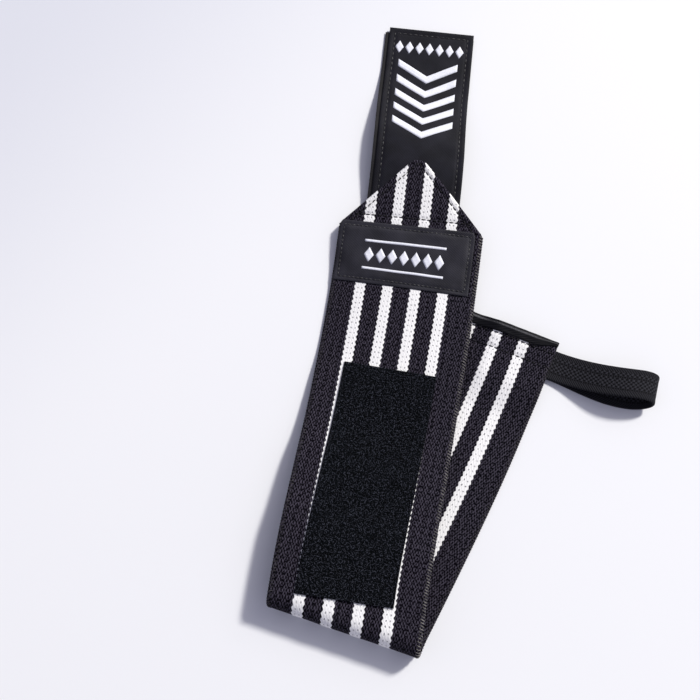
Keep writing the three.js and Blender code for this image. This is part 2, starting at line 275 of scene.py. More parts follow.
# %% [markdown]
# The solids were moved so that the origin is at the middle of their footprint. The tab's free end
# has sharp corners, so its packed box gives the same move exactly: the corner that is furthest up
# and the one furthest right.

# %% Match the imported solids
tab_low, tab_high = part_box("tab_face")
TAB_TOP = -BAND_THICKNESS - CLEARANCE
left_corner = lay_unshifted(-TAB_LENGTH, -TAB_LEFT, TAB_TOP)
right_corner = lay_unshifted(-TAB_LENGTH, TAB_RIGHT, TAB_TOP)
SHIFT = np.array([tab_high.x / METRES - right_corner[0], tab_high.y / METRES - left_corner[1], 0])


def lay(along, across, above=0.0):
    """The laid point in the frame of the solids, in millimetres."""
    return lay_unshifted(along, across, above) + SHIFT


print("shift to the packed frame", SHIFT.round(2), "mm")


# %% [markdown]
# ## Floor, camera and light
# The photograph looks down steeply on a white table. One light from the upper right throws shadows
# to the lower left, and a wide dim one round it softens their rims. The camera's tilt, distance and
# lens were solved from how the band narrows in the picture. The image is 700 by 700 pixels.

# %% Camera
IMAGE_WIDTH = 700
FOCAL_PIXELS = 915.6
SENSOR_WIDTH = 36.0
CAMERA_DISTANCE = 479.9
CAMERA_TILT = np.radians(78.6)
POINT_FROM_CENTRE = np.array([37.05, 103.5, 0])

target = lay(0.0, 0.0) * [1, 1, 0] - POINT_FROM_CENTRE
offset = CAMERA_DISTANCE * np.array([0, -np.cos(CAMERA_TILT), np.sin(CAMERA_TILT)])
camera_data = bpy.data.cameras.new("camera")
camera_data.sensor_width = SENSOR_WIDTH
camera_data.lens = SENSOR_WIDTH * FOCAL_PIXELS / IMAGE_WIDTH
camera_data.clip_start = 0.01
camera = bpy.data.objects.new("camera", camera_data)
camera.location = Vector((target + offset) * METRES)
camera.rotation_euler = (-Vector(offset)).to_track_quat("-Z", "Y").to_euler()
bpy.context.scene.collection.objects.link(camera)
bpy.context.scene.camera = camera
print(f"camera lens {camera_data.lens:.1f} mm, looking at {target.round(1)}")


# %% Light and colour
def add_area_light(name, direction, distance, size, watts, colour):
    """A square light on the ray from the wrap's middle, facing it."""
    light = bpy.data.lights.new(name, "AREA")
    light.size = size
    light.energy = watts
    light.color = colour
    holder = bpy.data.objects.new(name, light)
    ray = Vector(direction).normalized()
    holder.location = ray * distance
    holder.rotation_euler = ray.to_track_quat("Z", "Y").to_euler()
    bpy.context.scene.collection.objects.link(holder)
    return holder


LIGHT_DIRECTION = (0.84, 0.72, 1.0)
LIGHT_DISTANCE = 6.5
for light_name, size, watts, colour in [
    ("key_light", 0.73, 448, (1.0, 0.975, 0.91)),
    ("halo_light", 4.0, 75, (1.0, 0.975, 0.92)),
]:
    add_area_light(light_name, LIGHT_DIRECTION, LIGHT_DISTANCE, size, watts, colour)
world = bpy.data.worlds.new("studio")
world.use_nodes = True
world.node_tree.nodes["Background"].inputs["Color"].default_value = (0.78, 0.78, 1.0, 1)
world.node_tree.nodes["Background"].inputs["Strength"].default_value = 0.38
bpy.context.scene.world = world
bpy.context.scene.view_settings.view_transform = "Standard"


# %% [markdown]
# ## Materials
# But for the white stripes every fabric here is nearly black, so what tells them apart is texture.
# Each pattern is worked out from the piece's own UV map, which holds plain millimetres along and across the cloth: a
# knit with rows of holes for the elastic, a fine twill for the satin. The patterns are shader
# node groups, so that each material can use them at its own scale.

# %% A small helper for node trees
class Nodes:
    """Adds nodes to a tree, left to right, and wires values or sockets to their inputs."""

    def __init__(self, tree):
        self.tree = tree
        self.count = 0

    def add(self, kind, inputs=(), **settings):
        node = self.tree.nodes.new(kind)
        node.location = (180 * self.count, 0)
        self.count += 1
        for name, value in settings.items():
            setattr(node, name, value)
        for name, value in dict(inputs).items():
            self.put(node.inputs[name], value)
        return node

    def put(self, socket, value):
        if isinstance(value, bpy.types.NodeSocket):
            self.tree.links.new(value, socket)
        elif isinstance(value, (tuple, list)) and len(value) == 3 and socket.type == "RGBA":
            socket.default_value = (*value, 1)
        else:
            socket.default_value = value

    def math(self, operation, *values):
        node = self.add("ShaderNodeMath", operation=operation)
        for index, value in enumerate(values):
            self.put(node.inputs[index], value)
        return node.outputs[0]

    def times(self, *values):
        return self.math("MULTIPLY", *values)

    def plus(self, *values):
        return self.math("ADD", *values)

    def minus(self, *values):
        return self.math("SUBTRACT", *values)

    def ramp(self, value, low, high):
        """Smooth step of a value from 0 at low to 1 at high."""
        node = self.add("ShaderNodeMapRange", interpolation_type="SMOOTHSTEP")
        self.put(node.inputs["Value"], value)
        self.put(node.inputs["From Min"], low)
        self.put(node.inputs["From Max"], high)
        return node.outputs["Result"]

    def mix(self, share, first, second):
        node = self.add("ShaderNodeMix", data_type="RGBA")
        self.put(node.inputs["Factor"], share)
        self.put(node.inputs[6], first)
        self.put(node.inputs[7], second)
        return node.outputs[2]


def new_group(name, inputs, outputs):
    """A node group with float inputs (name, default) and outputs (name, socket type)."""
    group = bpy.data.node_groups.new(name, "ShaderNodeTree")
    for label, default in inputs:
        socket = group.interface.new_socket(label, in_out="INPUT", socket_type="NodeSocketFloat")
        socket.default_value = default
    for label, kind in outputs:
        group.interface.new_socket(label, in_out="OUTPUT", socket_type=kind)
    build = Nodes(group)
    return group, build, build.add("NodeGroupInput"), build.add("NodeGroupOutput")


# %% [markdown]
# The knit has two parts. Small holes lie on a lattice, which is the mean of two cosines, one along
# the cloth and one across it. The yarn crosses in small diamonds, the product of the wave along and
# a closer one across, and on them it runs in short strokes that lean left and right by turns, like
# the V shapes of a knitted stitch: the phase of a wave along the cloth is pushed forward by the
# distance from each rib's middle.

# %% Knit pattern
WALE = 2.07  # mm between ribs of the knit, across; seven of them reach from stripe to stripe
COURSE = 2.78  # mm between rows of holes, along
STRIPE_OFFSET = -0.85  # mm from the band's middle line to the middle of its stripes


def build_knit_group():
    """Outputs: holes, 1 in a hole; strands, 1 on top of the yarn; cloudy, slow variation."""
    group, build, given, result = new_group(
        "knit",
        [("Wale", WALE), ("Course", COURSE), ("Lean", 0.8)],
        [("Holes", "NodeSocketFloat"), ("Strands", "NodeSocketFloat"), ("Cloudy", "NodeSocketFloat")],
    )
    place = build.add("ShaderNodeUVMap", uv_map="cloth")
    wobble = build.add("ShaderNodeTexNoise", {"Vector": place.outputs[0], "Scale": 0.5, "Detail": 2.0})
    parts = build.add("ShaderNodeSeparateXYZ", {"Vector": place.outputs[0]})
    drift = build.times(build.minus(wobble.outputs["Fac"], 0.5), 1.5)
    along = build.plus(parts.outputs["X"], drift)
    across = build.minus(parts.outputs["Y"], STRIPE_OFFSET)
    across = build.plus(across, build.times(drift, 0.5))
    along_turns = build.math("DIVIDE", along, given.outputs["Course"])
    across_turns = build.math("DIVIDE", across, given.outputs["Wale"])
    along_wave = build.math("COSINE", build.times(along_turns, 2 * np.pi))
    across_wave = build.math("COSINE", build.times(across_turns, 2 * np.pi))
    lattice = build.times(build.plus(along_wave, across_wave), 0.5)
    cell = build.math("ABSOLUTE", build.minus(build.math("FRACT", across_turns), 0.5))
    pushed = build.times(cell, given.outputs["Lean"])
    phase = build.plus(build.times(along_turns, 2.0), build.times(pushed, 2.0))
    wave = build.math("SINE", build.times(phase, 2 * np.pi))
    stroke = build.plus(build.times(wave, 0.2), 0.8)
    close_wave = build.math("COSINE", build.times(across_turns, 3 * np.pi))
    crossing = build.ramp(build.times(along_wave, close_wave), 0.6, -0.4)
    strands = build.times(crossing, stroke)
    clouds = build.add("ShaderNodeTexNoise", {"Vector": place.outputs[0], "Scale": 0.06, "Detail": 3.0})
    build.put(result.inputs["Holes"], build.ramp(lattice, 0.55, 0.95))
    build.put(result.inputs["Strands"], strands)
    build.put(result.inputs["Cloudy"], clouds.outputs["Fac"])
    return group


knit_group = build_knit_group()


# %% [markdown]
# Woven satin and tape have a finer texture: diagonal lines of thread about a millimetre apart,
# broken up by fine noise. The same group serves all of them at different pitches.

# %% Twill pattern
def build_twill_group():
    """Outputs: lines, 1 on top of a thread; grain, fine noise; cloudy, slow variation."""
    group, build, given, result = new_group(
        "twill",
        [("Pitch", 0.45), ("Lean", 1.0)],
        [("Lines", "NodeSocketFloat"), ("Grain", "NodeSocketFloat"), ("Cloudy", "NodeSocketFloat")],
    )
    place = build.add("ShaderNodeUVMap", uv_map="cloth")
    parts = build.add("ShaderNodeSeparateXYZ", {"Vector": place.outputs[0]})
    leaning = build.times(parts.outputs["Y"], given.outputs["Lean"])
    turns = build.math("DIVIDE", build.plus(parts.outputs["X"], leaning), given.outputs["Pitch"])
    wave = build.math("SINE", build.times(turns, 2 * np.pi))
    grain = build.add("ShaderNodeTexNoise", {"Vector": place.outputs[0], "Scale": 2.2, "Detail": 3.0})
    clouds = build.add("ShaderNodeTexNoise", {"Vector": place.outputs[0], "Scale": 0.07, "Detail": 3.0})
    build.put(result.inputs["Lines"], build.plus(build.times(wave, 0.5), 0.5))
    build.put(result.inputs["Grain"], grain.outputs["Fac"])
    build.put(result.inputs["Cloudy"], clouds.outputs["Fac"])
    return group


twill_group = build_twill_group()


# %% Start a material
def new_material(name, roughness, shine=0.2):
    """A material, its Principled shader and a builder for its nodes; shine is its reflection."""
    material = bpy.data.materials.new(name)
    material.use_nodes = True
    shader = material.node_tree.nodes["Principled BSDF"]
    shader.inputs["Roughness"].default_value = roughness
    shader.inputs["Specular IOR Level"].default_value = shine
    return material, shader, Nodes(material.node_tree)


def add_bump(build, shader, height, strength, distance):
    """Feeds a height to the shader's normal, in metres of depth."""
    bump = build.add("ShaderNodeBump", {"Height": height, "Strength": strength, "Distance": distance})
    build.put(shader.inputs["Normal"], bump.outputs["Normal"])


# %% [markdown]
# The elastic is black with four white stripes. A stripe's edge is scalloped because each knitted
# row ends a little further out than the next, so its half width swings with the same rows. The
# distance to the nearest stripe comes from folding the place across the band again and again,
# first about the middle of the stripes.

# %% Striped elastic
STRIPE_PITCH = 14.5
STRIPE_WIDTH = 5.4
SCALLOP = 0.34


def build_elastic():
    """Black knit and white stripes, with dark holes in both."""
    material, shader, build = new_material("striped_elastic", 0.9, 0.05)
    knit = build.add("ShaderNodeGroup", node_tree=knit_group)
    place = build.add("ShaderNodeUVMap", uv_map="cloth")
    parts = build.add("ShaderNodeSeparateXYZ", {"Vector": place.outputs[0]})
    folded = build.math("ABSOLUTE", build.minus(parts.outputs["Y"], STRIPE_OFFSET))
    folded = build.math("ABSOLUTE", build.minus(folded, STRIPE_PITCH))
    signed = build.minus(folded, STRIPE_PITCH / 2)
    from_middle = build.math("ABSOLUTE", signed)
    side = build.math("SIGN", signed)
    turns = build.times(parts.outputs["X"], 2 * np.pi / COURSE)
    swing = build.math("COSINE", build.plus(turns, build.times(side, 0.8)))
    half = build.plus(build.times(swing, SCALLOP), STRIPE_WIDTH / 2)
    inside = build.minus(half, from_middle)
    white = build.ramp(inside, -0.12, 0.12)
    grain = build.add("ShaderNodeTexNoise", {"Vector": place.outputs[0], "Scale": 0.75, "Detail": 2.0})
    yarn = build.times(knit.outputs["Strands"], build.minus(1.0, knit.outputs["Holes"]))
    uneven = build.plus(yarn, build.times(grain.outputs["Fac"], 2.0))
    lit = build.ramp(uneven, 1.05, 2.15)
    black = build.mix(lit, (0.0008, 0.0006, 0.0022), (0.056, 0.050, 0.070))
    depth = build.ramp(knit.outputs["Cloudy"], 0.3, 0.6)
    hole_shade = build.plus(0.25, build.times(depth, 0.4))
    shade = build.times(knit.outputs["Holes"], hole_shade)
    shade = build.plus(shade, build.times(build.minus(1.0, yarn), 0.14))
    pale = build.mix(shade, (0.94, 0.935, 0.94), (0.09, 0.09, 0.11))
    build.put(shader.inputs["Base Color"], build.mix(white, black, pale))
    height = build.minus(build.times(knit.outputs["Strands"], 0.5), knit.outputs["Holes"])
    add_bump(build, shader, height, 0.55, 0.0003)
    return material


elastic = build_elastic()


# %% Satin and hook tape
def build_woven(name, dark, light, roughness, shine, pitch, lean, depth):
    """Cloth of fine diagonal threads between two colours."""
    material, shader, build = new_material(name, roughness, shine)
    twill = build.add("ShaderNodeGroup", {"Pitch": pitch, "Lean": lean}, node_tree=twill_group)
    threads = build.times(twill.outputs["Lines"], twill.outputs["Grain"])
    clouds = build.ramp(twill.outputs["Cloudy"], 0.25, 0.75)
    share = build.plus(threads, build.times(clouds, 0.35))
    build.put(shader.inputs["Base Color"], build.mix(share, dark, light))
    height = build.plus(twill.outputs["Lines"], twill.outputs["Grain"])
    add_bump(build, shader, height, 0.35, depth)
    return material


THREAD_PITCH = 0.95
WEAVE_DEPTH = 0.0002
satin = build_woven(
    "satin", (0.001, 0.001, 0.003), (0.046, 0.045, 0.060), 0.55, 0.2, THREAD_PITCH, 0.8, WEAVE_DEPTH
)
# The tab's satin is the label's satin in a darker colour: the difference is painted shade.
shaded_tab_satin = build_woven(
    "shaded_tab_satin", (0.0005, 0.0005, 0.001), (0.022, 0.022, 0.033), 0.6, 0.12, THREAD_PITCH, 0.8, WEAVE_DEPTH
)
hook_cloth = build_woven(
    "hook_tape", (0.005, 0.005, 0.006), (0.035, 0.033, 0.036), 0.7, 0.2, 0.9, 0.5, WEAVE_DEPTH
)


# %% Binding tape
HIGHLIGHT_PLACE = 3.3  # mm from the tape's middle to the painted highlight, a pale line on its visible side
HIGHLIGHT_HALF = 0.75


def build_tape():
    """Dark tape with a painted highlight: one pale line in its colour along the top of its visible side."""
    material, shader, build = new_material("binding_tape", 0.45, 0.08)
    place = build.add("ShaderNodeUVMap", uv_map="cloth")
    parts = build.add("ShaderNodeSeparateXYZ", {"Vector": place.outputs[0]})
    twill = build.add("ShaderNodeGroup", {"Pitch": 0.9, "Lean": 0.3}, node_tree=twill_group)
    away = build.math("ABSOLUTE", build.minus(parts.outputs["X"], HIGHLIGHT_PLACE))
    # Painted highlight: the colour turns pale along one line, broken up by the grain.
    painted_highlight = build.ramp(away, HIGHLIGHT_HALF, 0.1)
    patchy = build.ramp(build.times(twill.outputs["Grain"], twill.outputs["Cloudy"]), 0.1, 0.4)
    share = build.times(painted_highlight, patchy)
    base = build.mix(twill.outputs["Lines"], (0.001, 0.001, 0.002), (0.009, 0.009, 0.012))
    build.put(shader.inputs["Base Color"], build.mix(share, base, (0.12, 0.12, 0.13)))
    add_bump(build, shader, twill.outputs["Lines"], 0.3, 0.0002)
    return material


tape = build_tape()


# %% Narrow elastic of the thumb loop
HONEYCOMB_HALF = 4.6


def build_loop_elastic():
    """Open honeycomb knit down the middle and a leaning twill along both borders."""
    material, shader, build = new_material("loop_elastic", 0.75, 0.12)
    place = build.add("ShaderNodeUVMap", uv_map="cloth")
    parts = build.add("ShaderNodeSeparateXYZ", {"Vector": place.outputs[0]})
    knit = build.add("ShaderNodeGroup", {"Wale": 3.1, "Course": 2.3, "Lean": 0.6}, node_tree=knit_group)
    twill = build.add("ShaderNodeGroup", {"Pitch": 1.3, "Lean": 0.9}, node_tree=twill_group)
    from_middle = build.math("ABSOLUTE", parts.outputs["Y"])
    border = build.ramp(from_middle, HONEYCOMB_HALF - 0.3, HONEYCOMB_HALF + 0.3)
    comb = build.times(knit.outputs["Strands"], build.minus(1.0, knit.outputs["Holes"]))
    lines = build.times(twill.outputs["Lines"], build.plus(twill.outputs["Grain"], 0.3))
    middle_part = build.times(comb, build.minus(1.0, border))
    share = build.plus(middle_part, build.times(lines, border))
    colour = build.mix(share, (0.0006, 0.0006, 0.0016), (0.032, 0.032, 0.040))
    build.put(shader.inputs["Base Color"], colour)
    add_bump(build, shader, share, 0.6, 0.0004)
    return material


loop_cloth = build_loop_elastic()


# %% Thread, pile and white print
def build_plain(name, first, second, roughness, scale, shine=0.2):
    """A yarn or ink whose colour varies with fine noise in space."""
    material, shader, build = new_material(name, roughness, shine)
    place = build.add("ShaderNodeTexCoord")
    at = place.outputs["Object"]
    noise = build.add("ShaderNodeTexNoise", {"Vector": at, "Scale": scale, "Detail": 2.0})
    share = build.ramp(noise.outputs["Fac"], 0.3, 0.7)
    build.put(shader.inputs["Base Color"], build.mix(share, first, second))
    add_bump(build, shader, noise.outputs["Fac"], 0.2, 0.0001)
    return material


thread = build_plain("black_thread", (0.004, 0.004, 0.005), (0.016, 0.015, 0.018), 0.55, 1500)
pile = build_plain("loop_pile", (0.003, 0.0035, 0.006), (0.080, 0.086, 0.116), 0.8, 700)
pile_base = build_plain("pile_ground", (0.001, 0.0015, 0.002), (0.004, 0.005, 0.007), 0.95, 700, 0.05)
ink = build_plain("white_print", (0.72, 0.74, 0.83), (0.86, 0.87, 0.94), 0.6, 1200)
# The label's thread is paler than the black thread, in specks: painted glints, besides the real shine of its low
# roughness.
glint = build_plain("label_thread", (0.003, 0.003, 0.004), (0.060, 0.058, 0.062), 0.35, 600, 0.5)
edge_yarn = build_plain("selvedge_yarn", (0.03, 0.028, 0.03), (0.22, 0.21, 0.195), 0.7, 500)
edge_yarn_dark = build_plain("selvedge_yarn_dark", (0.003, 0.003, 0.005), (0.060, 0.056, 0.060), 0.7, 500)
print("materials:", ", ".join(sorted(m.name for m in bpy.data.materials)))


# %% [markdown]
# ## From arrays to meshes
# A piece of cloth is an upper and a lower sheet of points over one grid, closed by a rim. The
# helper takes both sheets as arrays, numbers their corners with numpy and fills the mesh in one
# call. The grid's own millimetres become the UV map, so that patterns follow the cloth.

# %% Mesh helpers
def fill_mesh(name, points, faces, material, uv=None):
    """A mesh object at the origin from points in millimetres, with one UV per corner if given."""
    mesh = bpy.data.meshes.new(name)
    corners = np.asarray(faces, np.int32)
    sides = corners.shape[1]
    mesh.vertices.add(len(points))
    mesh.vertices.foreach_set("co", (np.asarray(points) * METRES).astype(np.float32).ravel())
    mesh.loops.add(corners.size)
    mesh.loops.foreach_set("vertex_index", corners.ravel())
    mesh.polygons.add(len(corners))
    mesh.polygons.foreach_set("loop_start", np.arange(0, corners.size, sides, dtype=np.int32))
    mesh.polygons.foreach_set("use_smooth", np.ones(len(corners), bool))
    if uv is not None:
        layer = mesh.uv_layers.new(name="cloth")
        layer.data.foreach_set("uv", np.asarray(uv)[corners.ravel()].astype(np.float32).ravel())
    mesh.update(calc_edges=True)
    mesh.validate()
    mesh.materials.append(material)
    piece = bpy.data.objects.new(name, mesh)
    bpy.context.scene.collection.objects.link(piece)
    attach(piece, "root")
    return piece


def sheet_faces(rows, columns):
    """Corner numbers of two grids of rows by columns, the lower after the upper, and of their rim."""
    upper = np.arange(rows * columns).reshape(rows, columns)
    lower = upper + rows * columns

    def quads(a, b, c, d):
        return np.stack([a, b, c, d], -1).reshape(-1, 4)

    def along_rim(line_up, line_down):
        return quads(line_up[:-1], line_up[1:], line_down[1:], line_down[:-1])

    return np.concatenate([
        quads(upper[:-1, :-1], upper[1:, :-1], upper[1:, 1:], upper[:-1, 1:]),
        quads(lower[:-1, :-1], lower[:-1, 1:], lower[1:, 1:], lower[1:, :-1]),
        along_rim(upper[::-1, 0], lower[::-1, 0]),
        along_rim(upper[:, -1], lower[:, -1]),
        along_rim(upper[0], lower[0]),
        along_rim(upper[-1, ::-1], lower[-1, ::-1]),
    ])


def cloth_piece(name, along, across, low, high, material, place=lay):
    """Closed layers of cloth in one mesh: arrays over one grid, or over many grids at once."""
    along, across, low, high = np.broadcast_arrays(along, across, low, high)
    rows, columns = along.shape[-2:]
    points = np.stack([place(along, across, high), place(along, across, low)], -4)
    flat = np.stack([along, across], -1)
    layers = np.arange(along.size // (rows * columns))[:, None, None] * 2 * rows * columns
    faces = (sheet_faces(rows, columns)[None] + layers).reshape(-1, 4)
    flat = np.stack([flat, flat], -4).reshape(-1, 2)
    return fill_mesh(name, points.reshape(-1, 3), faces, material, flat)


# %% [markdown]
# Cloth never ends in a knife edge or a square one. Grid lines crowd towards the edges, and there
# the thickness follows a quarter circle, so every border is rounded by real geometry.

# %% Rounded borders
def crowded(start, end, step, border):
    """Places from start to end, evenly spaced inside and crowded over each border like a cosine."""
    bend = np.linspace(0, np.pi / 2, 6)[:-1]
    edge = border * (1 - np.cos(bend))
    count = max(2, int(np.ceil((end - start - 2 * border) / step)))
    inner = np.linspace(start + border, end - border, count)
    return np.concatenate([start + edge, inner, end - edge[::-1]])


def roundness(distance, radius):
    """Height of a quarter circle at a distance inside the edge, as a share of its radius."""
    missing = 1 - np.clip(distance / radius, 0.02, 1)
    return np.sqrt(1 - missing**2)


def ripple(along, across, length, seed):
    """Gentle unevenness between -1 and 1: a few crossed sine waves of unequal lengths."""
    turn = 2 * np.pi / length
    first = np.sin(turn * along + 1.3 * seed) * np.cos(0.73 * turn * across + seed)
    second = np.sin(1.61 * turn * along - 0.9 * turn * across + 2.1 * seed)
    third = np.sin(0.57 * turn * along + 1.37 * turn * across + 0.7 * seed)
    return (first + second + third) / 3


def groove(distance, width):
    """A rounded valley: 1 on a line, falling to 0 at so far from it."""
    return np.exp(-((distance / width) ** 2))


# %% [markdown]
# ## Threads, strokes and loops
# Stitches, the whipped edge, the pile and the hooks are all the same thing: a short closed tube
# bent along a few points, repeated many times. One helper computes every tube of a kind at once,
# with tube, ring and corner as three axes of one array.

# %% Many tubes in one mesh
def unit(vectors):
    """The same vectors at length 1."""
    return vectors / np.linalg.norm(vectors, axis=-1, keepdims=True)


def tube_faces(rings, sides, count):
    """Corner numbers of closed tubes: quads between rings, and quads over both ends."""
    ring, side = np.meshgrid(np.arange(rings - 1), np.arange(sides), indexing="ij")
    near, far = ring * sides + side, ring * sides + (side + 1) % sides
    walls = np.stack([near, far, far + sides, near + sides], -1).reshape(-1, 4)
    end = np.array([[0, k, k + 1, k + 2] for k in range(1, sides - 2, 2)]) + (rings - 1) * sides
    start = np.array([[0, k + 2, k + 1, k] for k in range(1, sides - 2, 2)])
    one = np.concatenate([walls, start, end])
    return (one[None] + np.arange(count)[:, None, None] * rings * sides).reshape(-1, 4)


def tubes(name, centre, hint, radius, sides, material):
    """Tubes round centre, an array of tube, ring, xyz; hint is a direction that crosses each tube."""
    count, rings = centre.shape[:2]
    forward = unit(np.gradient(centre, axis=1))
    first = unit(np.cross(forward, hint))
    second = np.cross(forward, first)
    angle = np.linspace(0, 2 * np.pi, sides, endpoint=False)[:, None]
    ring = np.cos(angle) * first[:, :, None] + np.sin(angle) * second[:, :, None]
    points = centre[:, :, None] + np.broadcast_to(radius, (count, rings))[:, :, None, None] * ring
    return fill_mesh(name, points.reshape(-1, 3), tube_faces(rings, sides, count), material)


# %% Sew along a path
STITCH_LENGTH = 2.9
THREAD_WIDTH = 0.55


def sew(name, along, across, above, material, length=STITCH_LENGTH, width=THREAD_WIDTH, facing=1):
    """A row of stitches along a path: each arches over the cloth like half a sine wave."""
    along, across, above = np.broadcast_arrays(np.asarray(along, float), across, above)
    walked = np.concatenate([[0], np.cumsum(np.hypot(np.diff(along), np.diff(across)))])
    count = max(1, int(round(walked[-1] / length)))
    share = np.linspace(0.12, 0.88, 5)
    at = (np.arange(count)[:, None] + share) * walked[-1] / count
    arch = width * (0.4 * np.sin(np.pi * (share - share[0]) / (share[-1] - share[0])) - 0.1)
    path = [np.interp(at, walked, values) for values in (along, across, above)]
    centre = lay(path[0], path[1], path[2] + facing * arch)
    hint = lay(path[0], path[1], path[2] + facing) - centre
    return tubes(name, centre, hint, width / 2 * np.array([0.5, 0.95, 1, 0.95, 0.5]), 6, material)


# %% [markdown]
# ## The elastic band
# The band is one closed sheet from the point to the hem. Its corners are cut and folded under to
# make the point, so that end is twice as thick, with a blunt tip. The sheet's faces are not
# smooth: the stripes stand a little proud, seams draw it in, and it puffs up beside them.

# %% Outline of the pointed end
POINT_ANGLE = np.arctan(HALF_WIDTH / POINT_LENGTH)
POINT_CENTRE = POINT_RADIUS / np.sin(POINT_ANGLE)
POINT_TANGENT = POINT_CENTRE - POINT_RADIUS * np.sin(POINT_ANGLE)
POINT_APEX = POINT_CENTRE - POINT_RADIUS
SEAM_INSET = 3.4
CORNER_SOFTNESS = 2.5


def half_width_at(along):
    """Half the width: a circle at the blunt tip, then a straight slant, eased into the full width."""
    arc = np.sqrt(np.maximum(POINT_RADIUS**2 - (POINT_CENTRE - along) ** 2, 0))
    slant = along * np.tan(POINT_ANGLE)
    share = np.clip(0.5 + (HALF_WIDTH - slant) / (2 * CORNER_SOFTNESS), 0, 1)
    eased = mix(HALF_WIDTH, slant, share) - CORNER_SOFTNESS * share * (1 - share)
    return np.where(along < POINT_TANGENT, arc, eased)


def slant_distance(along, across):
    """Distance inside the slanted edges of the point."""
    return (along * np.tan(POINT_ANGLE) - np.abs(across)) * np.cos(POINT_ANGLE)


# %% Relief of the band's faces
CROSS_SEAM = 34.6
HEM_SEAM = BAND_LENGTH - BINDING_COVER - 0.7
HEM_SECOND_SEAM = HEM_SEAM - 7.8


def stripe_height(along, across):
    """1 on a stripe and 0 beside it, with the same folding of the width as the material."""
    from_middle = np.abs(np.abs(np.abs(across - STRIPE_OFFSET) - STRIPE_PITCH) - STRIPE_PITCH / 2)
    return smooth(STRIPE_WIDTH / 2 + 0.5 - from_middle)


def seam_relief(along, across):
    """Millimetres that the seams draw the cloth in, and the puff that they leave between them."""
    slanted = groove(slant_distance(along, across) - SEAM_INSET, 0.7) * (along < POINT_LENGTH)
    crossing = groove(along - CROSS_SEAM, 0.8)
    hems = groove(along - HEM_SEAM, 0.8) + groove(along - HEM_SECOND_SEAM, 0.8)
    puff = groove(along - (HEM_SEAM + HEM_SECOND_SEAM) / 2, 3.2)
    return 0.35 * puff - 0.5 * slanted - 0.5 * crossing - 0.6 * hems


def band_relief(along, across):
    """Millimetres added to a face: stripes stand proud, and the knit is a little uneven."""
    return 0.14 * stripe_height(along, across) + 0.10 * ripple(along, across, 31.0, 1.0)


# %% Build the band
BAND_STEP = 0.9
BAND_BORDER = 1.5
rows = np.concatenate([
    mix(POINT_APEX, POINT_TANGENT, np.array([0.01, 0.06, 0.18, 0.35, 0.6, 0.8])),
    np.arange(POINT_TANGENT, FLAP_LENGTH - 0.4, BAND_STEP),
    [FLAP_LENGTH, FLAP_LENGTH + CLEARANCE],
    np.arange(FLAP_LENGTH + BAND_STEP, BAND_LENGTH - 1.2, BAND_STEP),
    BAND_LENGTH - np.array([1.0, 0.6, 0.25, 0.05]),
])[:, None]
half_width = half_width_at(rows)
border = np.minimum(BAND_BORDER, half_width / 2)
crowding = border * (1 - np.cos(np.linspace(0, np.pi / 2, 5)[:-1]))
across = np.concatenate([
    crowding - half_width,
    np.linspace(-1, 1, 76) * (half_width - border),
    half_width - crowding[:, ::-1],
], axis=1)
along = rows + 0 * across

doubled = along <= FLAP_LENGTH
floor_face = np.where(doubled, -BAND_THICKNESS, 0.0)
middle_face = (BAND_THICKNESS + floor_face) / 2
inside = np.minimum(half_width - np.abs(across), BAND_LENGTH - along)
inside = np.minimum(inside, np.where(along < POINT_TANGENT, along - POINT_APEX, inside))
body = (BAND_THICKNESS - floor_face) / 2 * roundness(inside, np.where(doubled, 1.7, 1.1))
inner_share = smooth(inside / 2)
seams = seam_relief(along, across)
on_table = smooth((along - TOP_LENGTH - FOLD_ARC) / FOLD_RADIUS + 1)
upper_relief = inner_share * (1 - on_table) * (band_relief(along, across) + seams)
free_face = inner_share * (0.10 * stripe_height(along, across) + seams * (along > POINT_LENGTH))
meeting = 0.7 * groove(across, 0.8) * inner_share
lower_relief = np.where(doubled, meeting, -free_face)
lower_face, upper_face = middle_face - body + lower_relief, middle_face + body + upper_relief
band = cloth_piece("band_cloth", along, across, lower_face, upper_face, elastic)
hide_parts("elastic_band")
print("band", len(band.data.polygons), "faces")


# %% [markdown]
# The band's own edges are whipped: yarn, paler on the right of the upper layer, runs over each edge
# in slanted strokes. A stroke starts on one face, goes round the edge in half a circle and ends on
# the other face.

# %% Whipped edges
WHIP_PITCH = 1.45
WHIP_REACH = 2.1
WHIP_SLANT = 1.9
WHIP_WIDTH = 0.5


def whip_edge(name, side, start, end, yarn):
    """Strokes over one edge, -1 left or 1 right: a straight run, half a circle and a run back.
    The strokes stand between two places along the band."""
    places = np.arange(start, end, WHIP_PITCH)[:, None]
    share = np.linspace(0, 1, 9)
    angle = np.clip((share - 0.25) * 2, 0, 1) * np.pi
    radius = BAND_THICKNESS / 2 + 0.02
    run = np.clip(0.25 - share, 0, 1) + np.clip(share - 0.75, 0, 1)
    straight = run * 4 * (WHIP_REACH - 1.0)
    across = side * (HALF_WIDTH - BAND_THICKNESS / 2 - straight + radius * np.sin(angle))
    above = BAND_THICKNESS / 2 + radius * np.cos(angle)
    centre = lay(places + WHIP_SLANT * (share - 0.5), across[None], above[None])
    hint = lay(places + 1, across[None], above[None]) - lay(places, across[None], above[None])
    thickness = WHIP_WIDTH / 2 * np.array([0.4, 0.85, 1, 1, 1, 1, 1, 0.85, 0.4])
    piece = tubes(name, centre, hint, thickness, 4, yarn)
    return piece


WHIP_START = POINT_LENGTH + 1
WHIP_TURN = TOP_LENGTH + 20  # beyond the fold the right edge's yarn is dark too
WHIP_END = BAND_LENGTH - BINDING_COVER
band_trim = [
    whip_edge("edge_yarn_left", -1, WHIP_START, WHIP_END, edge_yarn_dark),
    whip_edge("edge_yarn_right", 1, WHIP_START, WHIP_TURN, edge_yarn),
    whip_edge("edge_yarn_right_under", 1, WHIP_TURN, WHIP_END, edge_yarn_dark),
]


